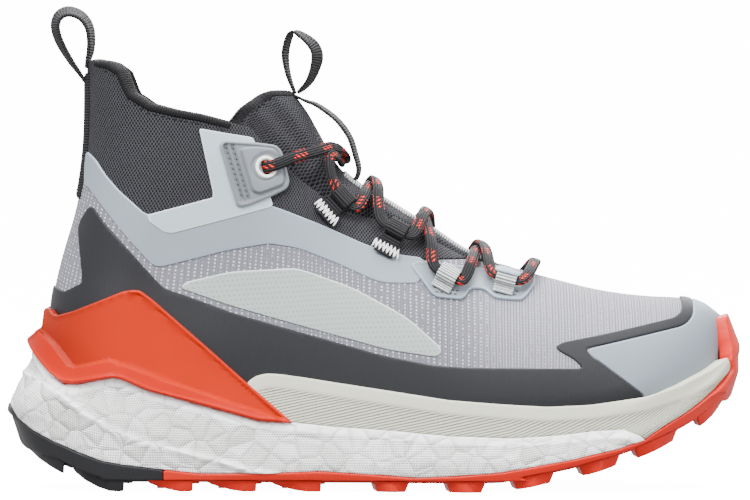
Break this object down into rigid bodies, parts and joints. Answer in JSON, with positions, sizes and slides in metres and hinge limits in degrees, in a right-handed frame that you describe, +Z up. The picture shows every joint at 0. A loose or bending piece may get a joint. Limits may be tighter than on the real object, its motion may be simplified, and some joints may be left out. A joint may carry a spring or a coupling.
{
  "type": "hiking boot",
  "caption": "Mid-height right hiking boot with a lugged rubber outsole, bead-foam midsole, moulded heel clip, knit collar, padded tongue, webbing lace loops and pull loops.",
  "frame": {"origin": "on the ground, under the middle of the boot's bounding box", "axes": "+X towards the toe, +Y towards the inner (medial) side, -Y towards the outer side, +Z up"},
  "size_m": [0.3068, 0.117, 0.202],
  "materials": {
    "heel_rubber": "matt",
    "tread_rubber": "satin",
    "foam": "smooth matt bead foam",
    "rim_foam": "matt, ribbed",
    "clip_plastic": "satin",
    "board_fabric": "woven board",
    "insole_foam": "fabric-topped foam",
    "stiffener": "pressed sheet",
    "padding": "foam",
    "lining_knit": "knit",
    "mesh": "3D spacer mesh",
    "ripstop": "ripstop weave",
    "charcoal_film": "matt welded film",
    "grey_film": "satin welded film",
    "pale_film": "satin welded film",
    "panel_film": "perforated film",
    "eyelet_plastic": "satin",
    "dark_webbing": "ribbed webbing",
    "light_webbing": "ribbed webbing",
    "white_thread": "thread",
    "lace_braid": "oval braid with flecks",
    "lace_tip_film": "clear-coated"
  },
  "bodies": {
    "boot": {"heel_outsole": "heel_rubber", "forefoot_outsole": "tread_rubber", "toe_bumper": "tread_rubber", "foam_midsole": "foam", "midsole_rim": "rim_foam", "heel_clip": "clip_plastic", "strobel_board": "board_fabric", "insole": "insole_foam", "heel_counter": "stiffener", "toe_puff": "stiffener", "foam_backing": "padding", "lining": "lining_knit", "collar_foam": "padding", "collar_lining": "lining_knit", "collar_binding": "lining_knit", "collar_mesh": "mesh", "vamp_shell": "ripstop", "quarter_shell_lateral": "ripstop", "quarter_shell_medial": "ripstop", "rand_overlay": "charcoal_film", "toe_cap": "grey_film", "ankle_band_lateral": "grey_film", "ankle_panel_lateral": "pale_film", "side_panel_lateral": "panel_film", "lace_wing_lateral": "grey_film", "eyelet_patch_lateral": "grey_film", "eyelet_lateral": "eyelet_plastic", "lace_loop_lateral_1": "dark_webbing", "lace_loop_lateral_2": "dark_webbing", "lace_loop_lateral_3": "light_webbing", "lace_loop_lateral_4": "light_webbing", "ankle_band_medial": "grey_film", "ankle_panel_medial": "pale_film", "side_panel_medial": "panel_film", "lace_wing_medial": "grey_film", "eyelet_patch_medial": "grey_film", "eyelet_medial": "eyelet_plastic", "lace_loop_medial_1": "dark_webbing", "lace_loop_medial_2": "dark_webbing", "lace_loop_medial_3": "light_webbing", "lace_loop_medial_4": "light_webbing", "bartacks": "white_thread", "heel_loop_tail": "dark_webbing", "lace": "lace_braid", "lace_tips": "lace_tip_film"},
    "tongue": {"tongue_pad": "mesh", "tongue_edge": "lining_knit", "tongue_strip": "light_webbing", "tongue_keeper": "dark_webbing"},
    "tongue_loop": {"tongue_pull_loop": "dark_webbing"},
    "heel_loop": {"heel_pull_loop": "dark_webbing"}
  },
  "joints": [
    {"name": "tongue_tilt", "type": "hinge", "parent": "boot", "child": "tongue", "pos_m": [0.0575, 0, 0.088], "axis": [0, 1, 0], "range_deg": [-1.2, 0]},
    {"name": "tongue_loop_flop", "type": "hinge", "parent": "tongue", "child": "tongue_loop", "pos_m": [-0.0325, 0, 0.1668], "axis": [0, 1, 0], "range_deg": [0, 45]},
    {"name": "heel_loop_flop", "type": "hinge", "parent": "boot", "child": "heel_loop", "pos_m": [-0.1252, 0, 0.1742], "axis": [0, 1, 0], "range_deg": [-100, 0]}
  ]
}
